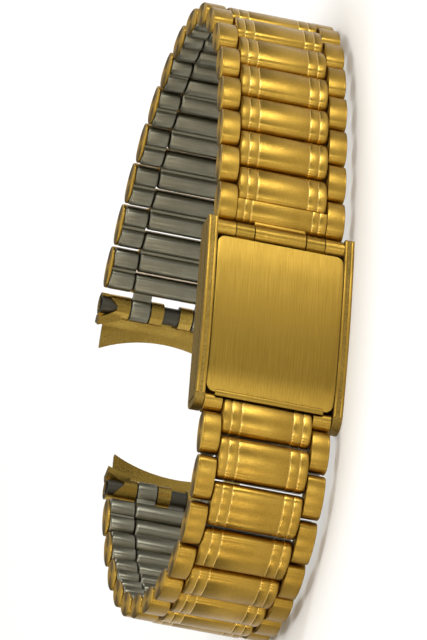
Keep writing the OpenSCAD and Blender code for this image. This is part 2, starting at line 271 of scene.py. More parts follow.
def new_spread(group, limits):
    """A node that maps a range of values to 0 to 1."""
    spread = group.nodes.new("ShaderNodeMapRange")
    spread.inputs["From Min"].default_value, spread.inputs["From Max"].default_value = limits
    return spread


def brush_group():
    """Streaks: noise on coordinates squeezed by a vector, so that it is long where the vector is small."""
    inputs = [("Coordinates", "NodeSocketVector", (0, 0, 0)), ("Squeeze", "NodeSocketVector", (1, 1, 1))]
    group, entry, result = new_group("brush_marks", inputs, ["Height", "Tone"])
    squeeze = group.nodes.new("ShaderNodeVectorMath")
    squeeze.operation = "MULTIPLY"
    fine = group.nodes.new("ShaderNodeTexNoise")
    fine.inputs["Scale"].default_value = 1.0
    fine.inputs["Detail"].default_value = STREAK_DETAIL
    fine.inputs["Roughness"].default_value = STREAK_ROUGHNESS
    spread = new_spread(group, STREAK_RANGE)
    group.links.new(entry.outputs["Coordinates"], squeeze.inputs[0])
    group.links.new(entry.outputs["Squeeze"], squeeze.inputs[1])
    group.links.new(squeeze.outputs["Vector"], fine.inputs["Vector"])
    group.links.new(fine.outputs["Fac"], spread.inputs["Value"])
    group.links.new(fine.outputs["Fac"], result.inputs["Height"])
    group.links.new(spread.outputs["Result"], result.inputs["Tone"])
    return group


def handling_group():
    """Clouding: wide noise, which leaves soft patches that differ from link to link."""
    inputs = [("Coordinates", "NodeSocketVector", (0, 0, 0)), ("Scale", "NodeSocketFloat", CLOUD_SCALE)]
    group, entry, result = new_group("handling", inputs, ["Mask"])
    wide = group.nodes.new("ShaderNodeTexNoise")
    wide.inputs["Detail"].default_value = CLOUD_DETAIL
    spread = new_spread(group, CLOUD_RANGE)
    group.links.new(entry.outputs["Coordinates"], wide.inputs["Vector"])
    group.links.new(entry.outputs["Scale"], wide.inputs["Scale"])
    group.links.new(wide.outputs["Fac"], spread.inputs["Value"])
    group.links.new(spread.outputs["Result"], result.inputs["Mask"])
    return group


brush_marks = brush_group()
handling = handling_group()
print("node groups:", [group.name for group in bpy.data.node_groups])

# %% [markdown]
# ## The metals
#
# All finishes are metals, so their colour is the colour of what they reflect. One
# function makes them all, from a light and a dark tone, a range of roughness, the
# squeeze of the brush marks and their relief.
#
# Fine marks that run one way scatter light across themselves. The shader's
# Anisotropic value does this without any geometry: a lamp's image is drawn out
# across the marks and stays narrow along them. Turning it by a quarter gives the
# direction that the links have in the photograph, where a bright band crosses
# each dome.

# %% Mix a metal finish
QUARTER_TURN = 0.25


def metal(name, light, dark, smooth, rough, squeeze, relief, clouding=0.4, brushed=0.0):
    """A metal whose colour and roughness follow brush marks and clouding.

    The marks are also a fine relief, in metres. clouding is the share of the clouds in
    the mix, and brushed, from 0 to 1, is how much wider light scatters across the marks.
    """
    material = bpy.data.materials.new(name)
    material.use_nodes = True
    nodes, links = material.node_tree.nodes, material.node_tree.links
    shader = nodes["Principled BSDF"]
    shader.inputs["Metallic"].default_value = 1.0
    if brushed:
        shader.inputs["Anisotropic"].default_value = brushed
        shader.inputs["Anisotropic Rotation"].default_value = QUARTER_TURN
    place = nodes.new("ShaderNodeTexCoord")
    brush = nodes.new("ShaderNodeGroup")
    brush.node_tree = brush_marks
    brush.inputs["Squeeze"].default_value = squeeze
    cloud = nodes.new("ShaderNodeGroup")
    cloud.node_tree = handling
    cloud.inputs["Scale"].default_value = CLOUD_SCALE
    tone = nodes.new("ShaderNodeMix")
    tone.data_type = "FLOAT"
    tone.inputs["Factor"].default_value = clouding
    colour = nodes.new("ShaderNodeMix")
    colour.data_type = "RGBA"
    colour.inputs["A"].default_value = (*light, 1.0)
    colour.inputs["B"].default_value = (*dark, 1.0)
    gloss = nodes.new("ShaderNodeMapRange")
    gloss.inputs["To Min"].default_value = smooth
    gloss.inputs["To Max"].default_value = rough
    bump = nodes.new("ShaderNodeBump")
    bump.inputs["Distance"].default_value = relief
    links.new(place.outputs["Object"], brush.inputs["Coordinates"])
    links.new(place.outputs["Object"], cloud.inputs["Coordinates"])
    links.new(brush.outputs["Tone"], tone.inputs["A"])
    links.new(cloud.outputs["Mask"], tone.inputs["B"])
    links.new(tone.outputs["Result"], colour.inputs["Factor"])
    links.new(tone.outputs["Result"], gloss.inputs["Value"])
    links.new(brush.outputs["Height"], bump.inputs["Height"])
    links.new(colour.outputs["Result"], shader.inputs["Base Color"])
    links.new(gloss.outputs["Result"], shader.inputs["Roughness"])
    links.new(bump.outputs["Normal"], shader.inputs["Normal"])
    return material


print("the marks of a brushed finish are turned by, in degrees:", 360 * QUARTER_TURN)

# %% [markdown]
# ## Seven finishes
#
# The links are satin gold with polished lines. The cover has long streaks and
# little clouding, the rails are dull from wear, and the end pieces are glossier
# than the links. The steel inside shows marks across the band. The tubes that the
# tabs hold get a near-black steel colour, which is painted shade: it stands in
# for the shadow inside the end piece's window.

# %% Make the finishes
GRAIN = (6000.0, 6000.0, 6000.0)
COARSE = (3000.0, 4000.0, 4000.0)
ALONG_CLASP = (90.0, 3000.0, 14000.0)
ACROSS_BAND = (5000.0, 5000.0, 500.0)
satin_gold = metal(
    "satin_gold", light=(0.47, 0.292, 0.050), dark=(0.295, 0.177, 0.026),
    smooth=0.32, rough=0.42, squeeze=GRAIN, relief=1.6e-5, brushed=0.8,
)
polished_gold = metal(
    "polished_gold", light=(0.60, 0.39, 0.09), dark=(0.50, 0.32, 0.07),
    smooth=0.22, rough=0.32, squeeze=GRAIN, relief=2e-6,
)
brushed_gold = metal(
    "brushed_gold", light=(0.39, 0.246, 0.042), dark=(0.25, 0.155, 0.023),
    smooth=0.36, rough=0.44, squeeze=ALONG_CLASP, relief=1.4e-5, clouding=0.1, brushed=0.9,
)
rail_gold = metal(
    "rail_gold", light=(0.34, 0.225, 0.050), dark=(0.13, 0.085, 0.018),
    smooth=0.38, rough=0.55, squeeze=COARSE, relief=2.5e-5, clouding=0.2,
)
inner_gold = metal(
    "inner_gold", light=(0.54, 0.37, 0.085), dark=(0.30, 0.19, 0.035),
    smooth=0.22, rough=0.36, squeeze=GRAIN, relief=8e-6,
)
grey_steel = metal(
    "grey_steel", light=(0.275, 0.265, 0.203), dark=(0.168, 0.161, 0.119),
    smooth=0.32, rough=0.44, squeeze=ACROSS_BAND, relief=6e-6, brushed=0.5,
)
# painted shade: this steel's near-black colour stands in for the shadow on the tube inside the end piece's
# window
tube_steel_painted_shade = metal(
    "tube_steel_painted_shade", light=(0.10, 0.095, 0.075), dark=(0.06, 0.057, 0.045),
    smooth=0.35, rough=0.50, squeeze=ACROSS_BAND, relief=3e-6,
)
print("finishes:", [material.name for material in bpy.data.materials if material.use_nodes])

# %% [markdown]
# ## The oval of a link
#
# The oval is easiest to write by the direction of its outward normal: on an end
# arc the point is the pin's centre plus the arc's radius in that direction, and
# on a flat arc it is the far centre of that arc plus its own radius. A smaller
# radius draws the oval in evenly, which is what a rounded end needs.

# %% Points of the oval
FLAT_ANGLE = np.arccos(PIN_OFF / (FLAT_R - END_R))
WRAP_ANGLE = np.arcsin(WRAP_Y / END_R)
END_STEPS = 9
FLAT_STEPS = 8
ROUND_STEPS = 4


def oval(angle, inset):
    """Point of the oval where its outward normal has that angle.

    It is the centre of the arc plus (the arc's radius - inset) times the normal.
    """
    nx, ny = np.cos(angle), np.sin(angle)
    flat = np.abs(nx) < PIN_OFF / (FLAT_R - END_R)
    centre_x = np.where(flat, 0.0, PIN_OFF * np.sign(nx))
    centre_y = np.where(flat, -np.sign(ny) * (FLAT_R - CROWN), 0.0)
    radius = np.where(flat, FLAT_R, END_R) - inset
    return centre_x + radius * nx, centre_y + radius * ny


outer_angles = -np.concatenate(
    [
        np.linspace(-WRAP_ANGLE, FLAT_ANGLE, END_STEPS, endpoint=False),
        np.linspace(FLAT_ANGLE, np.pi - FLAT_ANGLE, FLAT_STEPS, endpoint=False),
        np.linspace(np.pi - FLAT_ANGLE, np.pi + WRAP_ANGLE, END_STEPS + 1),
    ]
)
around_angles = np.concatenate(
    [
        np.linspace(-FLAT_ANGLE, FLAT_ANGLE, END_STEPS, endpoint=False),
        np.linspace(FLAT_ANGLE, np.pi - FLAT_ANGLE, FLAT_STEPS, endpoint=False),
        np.linspace(np.pi - FLAT_ANGLE, np.pi + FLAT_ANGLE, END_STEPS, endpoint=False),
        np.linspace(np.pi + FLAT_ANGLE, 2 * np.pi - FLAT_ANGLE, FLAT_STEPS, endpoint=False),
    ]
)


def oval_rings(angles, z, inset):
    """Rings at heights z, each an oval drawn in by its own inset."""
    x, y = oval(angles[None, :], inset[:, None])
    return np.stack([x, y, np.broadcast_to(z[:, None], x.shape)], axis=-1)


def rounded_ends(low, high, radius):
    """Heights and insets of a straight stretch with quarter-round ends.

    The inset is radius (1 - cos t), and the height moves by radius (1 - sin t).
    """
    t = np.linspace(np.pi / 2, 0, ROUND_STEPS)
    inset = radius * (1 - np.cos(t))
    rise = radius * (1 - np.sin(t))
    return np.concatenate([low + rise, (high - rise)[::-1]]), np.concatenate([inset, inset[::-1]])


print("points round a shell and round a plate:", len(outer_angles), len(around_angles))

# %% [markdown]
# ## Gold shells
#
# A centre link's shell is satin with two pairs of polished lines. Each line is a
# round-bottomed groove across the dome, so it is a dip in the inset of a few
# rings, and its bands take the polished finish. Side links are plain, and their
# outer end is closed by a full gold plate with a thin rounded rim.

# %% Shape the gold shells
LINE_EDGE = 1.1  # from the link's end to its first line
LINE_STEP = 1.2  # from the first line to the second
LINE_HALF = 0.12  # half a line's width
LINE_DEPTH = 0.045
LINE_RINGS = 7
CENTRE_ROUND = 0.32
SIDE_ROUND = 0.14
PLATE_T = 0.3  # thickness of a side link's outer plate
line_offsets = np.linspace(-LINE_HALF, LINE_HALF, LINE_RINGS)
line_dips = LINE_DEPTH * (1 - (line_offsets / LINE_HALF) ** 2)


def lines_from_edge(*distances):
    """Heights of polished lines at these distances from both ends of a centre link."""
    offsets = CENTRE_HALF - np.array(distances)
    return MID_Z + np.concatenate([-offsets, offsets])


line_pair = lines_from_edge(LINE_EDGE, LINE_EDGE + LINE_STEP)


def shell_with_lines(angles, half, end_round, lines):
    """Rings of a shell with a groove's dip at each line, and the material number of each band."""
    z, inset = rounded_ends(MID_Z - half, MID_Z + half, end_round)
    z = np.concatenate([z, (lines[:, None] + line_offsets).ravel()])
    inset = np.concatenate([inset, np.tile(line_dips, len(lines))])
    order = np.argsort(z)
    z, inset = z[order], inset[order]
    middle = (z[1:] + z[:-1]) / 2
    in_line = np.any(np.abs(middle[:, None] - lines) < LINE_HALF, axis=1)
    return oval_rings(angles, z, inset), in_line.astype(int)


def side_shells(half):
    """For both sides of the band, a half shell from the centre link outwards and its closing plate."""
    stacks = []
    for side in (-1, 1):
        z, inset = rounded_ends(SIDE_IN, half - PLATE_T / 2, SIDE_ROUND)
        stacks.append((oval_rings(outer_angles, MID_Z + side * z, inset), 0))
        z, inset = rounded_ends(half - PLATE_T, half, SIDE_ROUND)
        stacks.append((oval_rings(around_angles, MID_Z + side * z, inset), 0))
    return stacks


centre_shell = shell_with_lines(outer_angles, CENTRE_HALF, CENTRE_ROUND, line_pair)
print("heights of the polished lines in mm:", line_pair.round(2))

# %% [markdown]
# ## Steel cores
#
# Seen from inside, a link is two rolled lobes with a dark seam between them. A
# lobe's section is a superellipse, fuller than a circle, so that its top is
# nearly flat as on the real one. Where the two lobes meet, the section stops at
# the bottom of the seam.

# %% Shape the steel cores
LOBE_POWER = 2.6  # 2 is a circle, and more is fuller
LOBE_STEPS = 15
LOBE_TOP = 1.44  # height of a lobe over the pins' line
SEAM_HALF = 0.05
SEAM_Y = 0.8  # height of the seam's bottom
CORE_END = 2.63  # from the link's middle to the core's end
CORE_ROUND = 0.35
CORE_BASE = 0.02
PIN_R = 0.5
BAR_POINTS = 12
lobe_centre = (CORE_END + SEAM_HALF) / 2
lobe_half = (CORE_END - SEAM_HALF) / 2
lobe_high = LOBE_TOP - CORE_BASE


def core_rings(low, high, lobes=(1, -1)):
    """Rings of two superellipse lobes, never below the seam inside.

    x = c + a |cos t|^(2/p) with the sign of cos t, and y = base + b |sin t|^(2/p). With one
    lobe only there is no seam, and the lobe goes down to its base on both sides.
    """
    z, inset = rounded_ends(low, high, CORE_ROUND)
    t = np.linspace(0, np.pi, LOBE_STEPS)
    cos_part = np.sign(np.cos(t)) * np.abs(np.cos(t)) ** (2 / LOBE_POWER)
    sin_part = np.abs(np.sin(t)) ** (2 / LOBE_POWER)
    x = np.concatenate([side * lobe_centre + lobe_half * cos_part for side in lobes])
    y = np.tile(lobe_high * sin_part, len(lobes))
    shrink_x = 1 - inset[:, None] / CORE_END
    shrink_y = 1 - inset[:, None] / lobe_high
    seam_side = (np.abs(x) < lobe_centre) & (len(lobes) == 2)
    height = CORE_BASE + shrink_y * y
    seam = np.minimum(SEAM_Y, CORE_BASE + shrink_y)
    height = np.where(seam_side, np.maximum(height, seam), height)
    wide = x * shrink_x
    return np.stack([wide, height, np.broadcast_to(z[:, None], wide.shape)], axis=-1)


def pin_rings(x, half):
    """A round pin across the band, as a stack of two circles."""
    t = np.linspace(0, 2 * np.pi, BAR_POINTS, endpoint=False)
    circle = np.stack([x + PIN_R * np.cos(t), PIN_R * np.sin(t)], axis=-1)
    levels = MID_Z + np.array([-half, half])
    return np.stack([np.column_stack([circle, np.full(BAR_POINTS, z)]) for z in levels])


centre_core = (core_rings(MID_Z - CENTRE_HALF, MID_Z + CENTRE_HALF), 0)
print("width of a steel lobe in mm:", round(2 * lobe_half, 2))

# %% [markdown]
# ## The rows of both straps
#
# Centre links and side pairs alternate at half the pitch, like bricks. Counting
# segments from the clasp, the upper strap has its side pairs on even segments
# and the lower strap has its centre links there. The band is a little narrower
# at the clasp than at the watch, and only the side pairs take up the difference.

# %% Build the rows
STRAIGHT_ROWS = 4  # rows next to the clasp that keep its inner width


def dress_link(node, strap, segment, gold_stacks, steel_stacks):
    """Makes a row's gold piece and steel piece and puts both in the place of its CAD node."""
    gold = [(on_strap(rings, strap, segment), number) for rings, number in gold_stacks]
    steel = [(on_strap(rings, strap, segment), number) for rings, number in steel_stacks]
    shell = build_piece(f"{node}_shell", gold, [satin_gold, polished_gold])
    core = build_piece(f"{node}_core", steel, [grey_steel])
    for piece, slot in ((shell, "gold_satin"), (core, "steel_grey")):
        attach(piece, node)
        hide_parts(node)


def side_half(row, count):
    """Half width of a side pair: as at the clasp for the first rows, then evenly wider to the watch."""
    share = max(0, row - STRAIGHT_ROWS) / (count - STRAIGHT_ROWS)
    return NEAR_HALF + (FAR_HALF - NEAR_HALF) * share


def side_cores(half, pins_at=(-PIN_OFF, PIN_OFF)):
    """The two steel cores of a side pair and the pins that hold it together."""
    cores = [(core_rings(MID_Z + SIDE_IN, MID_Z + half - PLATE_T), 0)]
    cores.append((core_rings(MID_Z - half + PLATE_T, MID_Z - SIDE_IN), 0))
    return cores + [(pin_rings(x, half - 2 * PLATE_T), 0) for x in pins_at]


rows = {strap: sum(name.startswith(f"{strap}_centre_") for name in frame["nodes"]) for strap in pins}
for strap, count in rows.items():
    shift = 0 if strap == "upper" else -1
    for row in range(1, count + 1):
        dress_link(f"{strap}_centre_{row}", strap, 2 * row - 1 + shift, [centre_shell], [centre_core])
    for row in range(1, count):
        half = side_half(row, count)
        dress_link(f"{strap}_side_pair_{row}", strap, 2 * row + shift, side_shells(half), side_cores(half))
print("centre links dressed:", rows)

# %% [markdown]
# ## Half links
#
# The row beside the hinge and the last row of each strap are a side pair with half
# a centre link between its far halves. The half link ends in a flat cut just past
# the row's middle, so its rings are a part of the oval and one corner point. A
# row is drawn with its half link towards the watch, and the hinge's row is turned
# about.

# %% Shape the half links
BRIDGE_X = 0.05  # where the flat cut is
BRIDGE_GAP = 0.02
BRIDGE_HALF = SIDE_IN - BRIDGE_GAP
BRIDGE_ROUND = 0.12
FIRST_MID = PITCH - PIN_OFF  # from the hinge to the middle of the first row
half_angles = -np.concatenate(
    [
        np.linspace(-WRAP_ANGLE, FLAT_ANGLE, END_STEPS, endpoint=False),
        np.linspace(FLAT_ANGLE, np.arccos(BRIDGE_X / FLAT_R), FLAT_STEPS),
    ]
)


def half_shell(lines):
    """The gold half link: part of the oval, closed through a corner below the cut."""
    rings, numbers = shell_with_lines(half_angles, BRIDGE_HALF, BRIDGE_ROUND, lines)
    corner = np.broadcast_to([BRIDGE_X, WRAP_Y, 0.0], (len(rings), 1, 3)).copy()
    corner[:, 0, 2] = rings[:, 0, 2]
    return np.concatenate([rings, corner], axis=1), numbers


def from_hinge(stacks):
    """A row turned about, with its middle FIRST_MID from the hinge: x becomes middle - x."""
    turned = []
    for rings, number in stacks:
        placed = rings.copy()
        placed[..., 0] = FIRST_MID - PIN_OFF - rings[..., 0]
        turned.append((placed, number))
    return turned


half_core = (core_rings(MID_Z - CENTRE_HALF, MID_Z + CENTRE_HALF, lobes=(1,)), 0)
print("points round a half link:", len(half_angles) + 1)

# %% [markdown]
# ## Tabs
#
# On a last row two tabs leave the steel side and curl round the tube of the end
# piece. A tab is a strip of sheet seen from its edge: out along a neck, round an
# arc, and back on a smaller arc. Its edges are rounded like those of the links.

# %% Build the last rows with their tabs
TUBE_REACH = 2.0
TUBE_AT = PITCH / 2 + TUBE_REACH  # from the row's middle to the tube's
TAB_IN = 1.13  # radius of the curl's hollow
TAB_OUT = 1.48  # radius of the curl
TAB_ROOT = 0.8  # where the neck starts, inside the steel
TAB_LOW = 0.27  # lower and upper side of the neck
TAB_HIGH = 0.62
TAB_SLIT = 0.22  # where the curl ends, below the pins' line
TAB_AT = 4.0  # from the band's middle to the tab's
TAB_HALF = 1.2
TAB_ROUND = 0.14
TAB_STEPS = 36


def tab_rings(side):
    """A tab's outline: a neck, an arc of radius TAB_OUT once round the tube, an arc of TAB_IN back."""
    out_start, out_end = np.arcsin(TAB_HIGH / TAB_OUT), np.arcsin(TAB_SLIT / TAB_OUT)
    back_start, back_end = np.arcsin(TAB_SLIT / TAB_IN), np.arcsin(TAB_LOW / TAB_IN)
    outward = np.linspace(np.pi - out_start, -np.pi - out_end, TAB_STEPS)
    back = np.linspace(-np.pi - back_start, np.pi - back_end, TAB_STEPS)
    middle = MID_Z + side * TAB_AT
    z, inset = rounded_ends(middle - TAB_HALF, middle + TAB_HALF, TAB_ROUND)
    inset = inset[:, None]
    outer, inner, root = TAB_OUT - inset, TAB_IN + inset, np.full_like(inset, TAB_ROOT)
    x = [root, TUBE_AT + outer * np.cos(outward), TUBE_AT + inner * np.cos(back), root]
    y = [TAB_HIGH - inset, outer * np.sin(outward), inner * np.sin(back), TAB_LOW + inset]
    x, y = np.concatenate(x, axis=1), np.concatenate(y, axis=1)
    return np.stack([x, y, np.broadcast_to(z[:, None], x.shape)], axis=-1)


tabs = [(tab_rings(side), 0) for side in (-1, 1)]
last_gold = side_shells(FAR_HALF) + [half_shell(line_pair)]
last_steel = side_cores(FAR_HALF, (-PIN_OFF,)) + [half_core] + tabs
for strap, at in pins.items():
    dress_link(f"{strap}_last_link", strap, len(at) - 2, last_gold, last_steel)
print("tabs at this height in mm:", [MID_Z + side * TAB_AT for side in (-1, 1)])

# %% [markdown]
# ## The first row and its knuckle
#
# The first upper row has a wide knuckle round the hinge pin, which melts into the
# half link through a soft fold. A smooth maximum of a circle and a flat neck
# gives that fold without any joining of meshes. The row has three polished lines
# at each side, the outer one in the seam between the half link and the side piece.

# %% Build the first row
HINGE_LINE_STEP = 0.85
KNUCKLE_R = 1.3
KNUCKLE_HALF = 3.15
KNUCKLE_ROUND = 0.12
KNUCKLE_TURN = 2.4  # how far the outline follows the circle, in radians
KNUCKLE_STEPS = 20
NECK_HALF = 0.65  # half the neck's thickness
NECK_START = 1.05
NECK_END = 3.0
NECK_STEPS = 10
MELT = 0.12  # length over which the fold is soft


def knuckle_rings():
    """Circle and neck joined by a smooth maximum.

    Half the thickness at x is m log(e^(circle / m) + e^(neck / m)), with the melt length m.
    """
    on_circle = -KNUCKLE_R * np.cos(np.linspace(0, KNUCKLE_TURN, KNUCKLE_STEPS))
    x = np.concatenate([on_circle, np.linspace(NECK_START, NECK_END, NECK_STEPS)])
    circle = np.sqrt(np.maximum(KNUCKLE_R**2 - x**2, 0))
    joined = MELT * np.log(np.exp(circle / MELT) + np.exp(NECK_HALF / MELT))
    thick = np.where(x > 0, joined, circle)
    outline = np.concatenate([np.stack([x, thick], axis=-1), np.stack([x, -thick], axis=-1)[-1:0:-1]])
    z, inset = rounded_ends(MID_Z - KNUCKLE_HALF, MID_Z + KNUCKLE_HALF, KNUCKLE_ROUND)
    flat = outline[None] * (1 - inset / KNUCKLE_R)[:, None, None]
    return np.concatenate([flat, np.broadcast_to(z[:, None, None], (*flat.shape[:2], 1))], axis=-1)


hinge_lines = lines_from_edge(HINGE_LINE_STEP, 2 * HINGE_LINE_STEP)
knuckle = knuckle_rings()
knuckle[..., 0] -= PIN_OFF
first_gold = from_hinge(side_shells(NEAR_HALF) + [half_shell(hinge_lines)]) + [(knuckle, 0)]
first_steel = from_hinge(side_cores(NEAR_HALF, (-PIN_OFF,)) + [half_core])
dress_link("upper_first_link", "upper", 0, first_gold, first_steel)
print("points round the knuckle:", knuckle.shape[1])

# %% [markdown]
# ## Softened copies of the CAD parts
#
# The clasp and the end pieces have their right shape in the CAD model already,
# but its edges are perfectly sharp. A real edge catches light, so each becomes a
# copy whose loose triangles are merged and whose edges get a small bevel. Faces
# of another finish are picked out by where they lie. A face that has to bend can
# be cut into strips first, and its points moved after.

# %% Copy and soften a CAD node
MERGE = 1e-7
SAME_PLANE = np.radians(0.5)
BEVEL = 0.07 * MM
BEVEL_ANGLE = np.radians(35)
BEVEL_SEGMENTS = 3


def merged_mesh(node, cuts):
    """A CAD node's mesh, its triangles joined to flat faces and then divided by the cutting planes."""
    mesh = frame["nodes"][node].data.copy()
    mesh.name = f"{node}_soft"
    work = bmesh.new()
    work.from_mesh(mesh)
    bmesh.ops.remove_doubles(work, verts=work.verts, dist=MERGE)
    bmesh.ops.dissolve_limit(
        work, angle_limit=SAME_PLANE, verts=work.verts, edges=work.edges, delimit={"NORMAL"}
    )
    for point, normal in cuts:
        geometry = work.verts[:] + work.edges[:] + work.faces[:]
        plane = np.array(point) * MM
        bmesh.ops.bisect_plane(work, geom=geometry, dist=MERGE, plane_co=plane, plane_no=normal)
    work.to_mesh(mesh)
    work.free()
    return mesh


def move_points(mesh, shape):
    """Moves a mesh's points to where shape, a function of points in mm, puts them."""
    points = np.empty(len(mesh.vertices) * 3)
    mesh.vertices.foreach_get("co", points)
    mesh.vertices.foreach_set("co", (shape(points.reshape(-1, 3) / MM) * MM).ravel())
    mesh.update()


def finish_faces(mesh, materials, number_of):
    """Gives each face one of the materials, by its middle in mm, and smooth shading."""
    mesh.materials.clear()
    for material in materials:
        mesh.materials.append(material)
    middles = np.empty(len(mesh.polygons) * 3)
    mesh.polygons.foreach_get("center", middles)
    numbers = number_of(middles.reshape(-1, 3) / MM)
    mesh.polygons.foreach_set("material_index", np.asarray(numbers, dtype=np.int32))
    mesh.polygons.foreach_set("use_smooth", np.ones(len(mesh.polygons), dtype=bool))
    mesh.set_sharp_from_angle(angle=BEVEL_ANGLE)


def soften(node, materials, number_of, bevel=BEVEL, cuts=(), shape=None):
    """A merged copy of a CAD node with small bevels, in the node's place.

    number_of picks each face's material. cuts are planes, each a point in mm and a
    normal, and shape moves the points.
    """
    mesh = merged_mesh(node, cuts)
    if shape:
        move_points(mesh, shape)
    finish_faces(mesh, materials, number_of)
    piece = bpy.data.objects.new(f"{node}_soft", mesh)
    bpy.context.scene.collection.objects.link(piece)
    edge = piece.modifiers.new("edges", "BEVEL")
    edge.width = bevel
    edge.segments = BEVEL_SEGMENTS
    edge.limit_method = "ANGLE"
    edge.angle_limit = BEVEL_ANGLE
    edge.harden_normals = True
    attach(piece, node)
    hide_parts(node)
    return piece


print("usual bevel in mm:", round(BEVEL / MM, 2))

# %% [markdown]
# ## The clasp's frame
#
# The frame is one folded part: a floor, two rails and two knuckles. Its rails are
# dull from wear outside, while the floor and the knuckles between them stay satin.

# %% Soften the frame
RAIL_T = 1.15
RAIL_SLACK = 0.01


def inside_rails(middles):
    """Picks the faces between the two rails."""
    return np.abs(middles[:, 2] - MID_Z) < FAR_HALF - RAIL_T - RAIL_SLACK


soften("clasp_frame", [rail_gold, satin_gold], inside_rails)
print("faces of the frame:", len(bpy.data.meshes["clasp_frame_soft"].polygons))

# %% [markdown]
# ## The cover
#
# The cover is a brushed plate that follows the clasp's arch, and its front rolls
# inwards at its edges, most of all at the lower one. That roll is what makes the
# photograph's long change of tone: bright at the top, dark below the middle and
# bright again at the foot. The CAD plate has the arch alone, so its front is cut
# into strips, and a parabola moves them inwards near each edge.

# %% Roll the cover's front
COVER_BEVEL = 0.12 * MM
ARCH_R = 110.0
COVER_FRONT = 2.35
COVER_LOWER = -10.4
COVER_UPPER = 10.6
LOWER_LONG = 4.2  # how far the roll reaches in from the lower edge
LOWER_ROLL = 0.38  # how deep it is there
UPPER_LONG = 4.0
UPPER_ROLL = 0.15
SIDE_LONG = 0.45
SIDE_ROLL = 0.07
FRONT_REACH = 0.06  # a point this close to the arch belongs to the front
STRIP = 0.5  # width of a strip
FIRST_CUT = -10.25
SIDE_CUTS = (0.15, 0.3, SIDE_LONG)


def all_one(middles):
    """Every face takes the first material."""
    return np.zeros(len(middles))


def arch(x, front):
    """Height of a face that follows the clasp's arch: y = x^2 / (2 R) - front."""
    return x**2 / (2 * ARCH_R) - front


def past(start, end, value):
    """Share of the way from start to end, squared, and 0 before the start."""
    return np.clip((value - start) / (end - start), 0, None) ** 2


def roll_front(points):
    """The cover's front: the arch, plus a parabola inwards at each edge. Other points stay."""
    x, y, z = points.T
    front = arch(x, COVER_FRONT)
    lower = LOWER_ROLL * past(COVER_LOWER + LOWER_LONG, COVER_LOWER, x)
    upper = UPPER_ROLL * past(COVER_UPPER - UPPER_LONG, COVER_UPPER, x)
    sides = SIDE_ROLL * past(NEAR_HALF - SIDE_LONG, NEAR_HALF, np.abs(z - MID_Z))
    rolled = np.where(np.abs(y - front) < FRONT_REACH, front + lower + upper + sides, y)
    return np.stack([x, rolled, z], axis=-1)


across_cuts = [((x, 0, 0), (1, 0, 0)) for x in np.arange(FIRST_CUT, COVER_UPPER, STRIP)]
side_planes = [MID_Z + side * (NEAR_HALF - inset) for side in (-1, 1) for inset in SIDE_CUTS]
along_cuts = [((0, 0, z), (0, 0, 1)) for z in side_planes]
cover = soften("clasp_cover", [brushed_gold], all_one, COVER_BEVEL, across_cuts + along_cuts, roll_front)
print("cuts through the cover:", len(across_cuts + along_cuts))

# %% [markdown]
# ## The tongue and the end pieces
#
# The tongue's plate is steel and the lugs at its end are gold. An end piece is a
# formed gold sheet round a steel tube whose colour is painted dark as the shade in
# its window, and the tube's faces are those that lie within its radius of the
# spring bar.

# %% Soften the tongue and the end pieces
LUG_X = -9.2  # where the lugs end
TUBE_R = 1.1
TUBE_SLACK = 0.005
END_BEVEL = 0.12 * MM


def near_axis(axis, radius):
    """Picks the faces that lie within a radius of a line across the band."""

    def pick(middles):
        distance = np.hypot(middles[:, 0] - axis[0], middles[:, 1] - axis[1])
        return distance < radius

    return pick


def beyond_lugs(middles):
    """Picks the faces of the tongue's steel plate, past its gold lugs."""
    return middles[:, 0] > LUG_X


soften("clasp_tongue", [satin_gold, grey_steel], beyond_lugs)
for strap, at in pins.items():
    tube = near_axis(at[-1] / MM, TUBE_R + TUBE_SLACK)
    # the tube's faces take the steel that is painted dark as shade
    soften(f"{strap}_end_piece", [inner_gold, tube_steel_painted_shade], tube, END_BEVEL)

# %% [markdown]
# ## Beads along the rails
#
# The front of each rail has fine lines along it. They are two raised beads, each a
# thin bar of oval section sunk halfway into the rail. The bar follows the same
# arch as the cover, so its path is the arch once more.

# %% Add the beads
RAIL_FRONT = 2.2
BEAD_LOW = -10.9
BEAD_TOP = 12.9
BEAD_THICK = 0.07
BEAD_HALF = 0.16
BEAD_INSETS = (0.22, 0.95)  # from the clasp's edge to each bead
BEAD_STEPS = 25


def bead_rings(side, inset):
    """Ovals along a rail's front: y = arch + b sin t, z = edge - inset + a cos t."""
    x = np.linspace(BEAD_LOW, BEAD_TOP, BEAD_STEPS)
    t = np.linspace(0, 2 * np.pi, BAR_POINTS, endpoint=False)
    y = arch(x, RAIL_FRONT)[:, None] + BEAD_THICK * np.sin(t)
    z = MID_Z + side * (FAR_HALF - inset) + BEAD_HALF * np.cos(t)
    return np.stack([np.broadcast_to(x[:, None], y.shape), y, np.broadcast_to(z, y.shape)], axis=-1)


bead_stacks = [(bead_rings(side, inset), 0) for side in (-1, 1) for inset in BEAD_INSETS]
beads = build_piece("rail_beads", bead_stacks, [satin_gold])
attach(beads, "clasp_frame")
print("beads:", len(bead_stacks))

# %% [markdown]
# ## The lip of the cover
#
# A fingernail opens the cover by a small lip under its lower edge. The lip is a
# little narrower than the plate and has rounded ends, so it is one more stack of
# ovals, drawn in at both ends.

# %% Add the lip
LIP_INSET = 1.1
LIP_HALF = NEAR_HALF - LIP_INSET
LIP_X = -10.45
LIP_Y = -1.50
LIP_LONG = 0.42
LIP_THICK = 0.15
LIP_THIN = 0.9  # share of the inset by which an end gets thinner
LIP_POINTS = 16


def lip_rings():
    """Rings of a flat oval: x = c + a cos t, y = d + b sin t, with both shrunk at the rounded ends."""
    t = np.linspace(0, 2 * np.pi, LIP_POINTS, endpoint=False)
    z, inset = rounded_ends(MID_Z - LIP_HALF, MID_Z + LIP_HALF, LIP_THICK)
    x = LIP_X + (LIP_LONG - inset)[:, None] * np.cos(t)
    y = LIP_Y + (LIP_THICK - LIP_THIN * inset)[:, None] * np.sin(t)
    return np.stack([x, y, np.broadcast_to(z[:, None], x.shape)], axis=-1)


